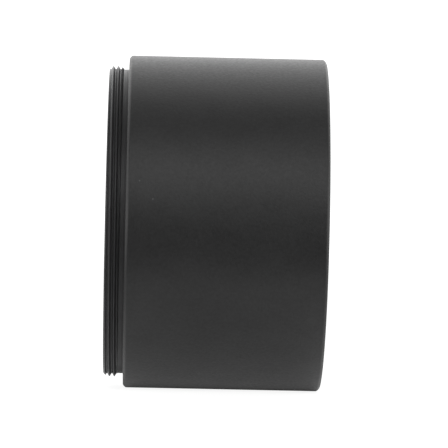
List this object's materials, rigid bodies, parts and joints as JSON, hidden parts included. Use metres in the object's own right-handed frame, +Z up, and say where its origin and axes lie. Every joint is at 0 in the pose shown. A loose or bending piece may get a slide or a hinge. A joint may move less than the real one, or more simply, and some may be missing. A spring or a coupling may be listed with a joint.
{
  "type": "barlow lens",
  "caption": "Two-inch Barlow lens cell: black anodised barrel with a fine rear thread, a front filter thread and a screwed-in lens sleeve.",
  "frame": {"origin": "centre of the seating shoulder behind the rear thread, on the optical axis", "axes": "+X forward along the optical axis, from the rear threaded end to the front filter end; +Z up as the cell lies on its barrel"},
  "size_m": [0.033, 0.0508, 0.0508],
  "materials": {
    "black_anodised": "bead-blasted, matt black anodised",
    "inner_black": "flat black anodised",
    "coated_glass": "polished, multi-coated",
    "nitrile_rubber": "matt",
    "black_acetal": "matt"
  },
  "bodies": {
    "barrel": {"barrel": "black_anodised", "glare_stop": "inner_black"},
    "cell_slider": {"cell_o_ring": "nitrile_rubber"},
    "lens_cell": {"lens_cell": "inner_black", "seat_cushion": "nitrile_rubber", "rear_element": "coated_glass", "middle_element": "coated_glass", "spacer_ring": "inner_black", "front_element": "coated_glass"},
    "slip_ring": {"slip_ring": "black_acetal"},
    "retaining_ring": {"retaining_ring": "inner_black"}
  },
  "joints": [
    {"name": "cell_travel", "type": "slide", "parent": "barrel", "child": "cell_slider", "axis": [1, 0, 0], "range_m": [0, 0.0035]},
    {"name": "cell_turn", "type": "hinge", "parent": "cell_slider", "child": "lens_cell", "pos_m": [0, 0, 0], "axis": [1, 0, 0], "range_deg": [0, 2520]},
    {"name": "ring_travel", "type": "slide", "parent": "lens_cell", "child": "slip_ring", "axis": [1, 0, 0], "range_m": [0, 0.00213]},
    {"name": "ring_turn", "type": "hinge", "parent": "slip_ring", "child": "retaining_ring", "pos_m": [0, 0, 0], "axis": [1, 0, 0], "range_deg": [0, 1530]}
  ],
  "couplings": [
    {"joint": "cell_travel", "follows": "cell_turn", "m_per_rad": 0.000079577},
    {"joint": "ring_travel", "follows": "ring_turn", "m_per_rad": 0.000079577}
  ]
}
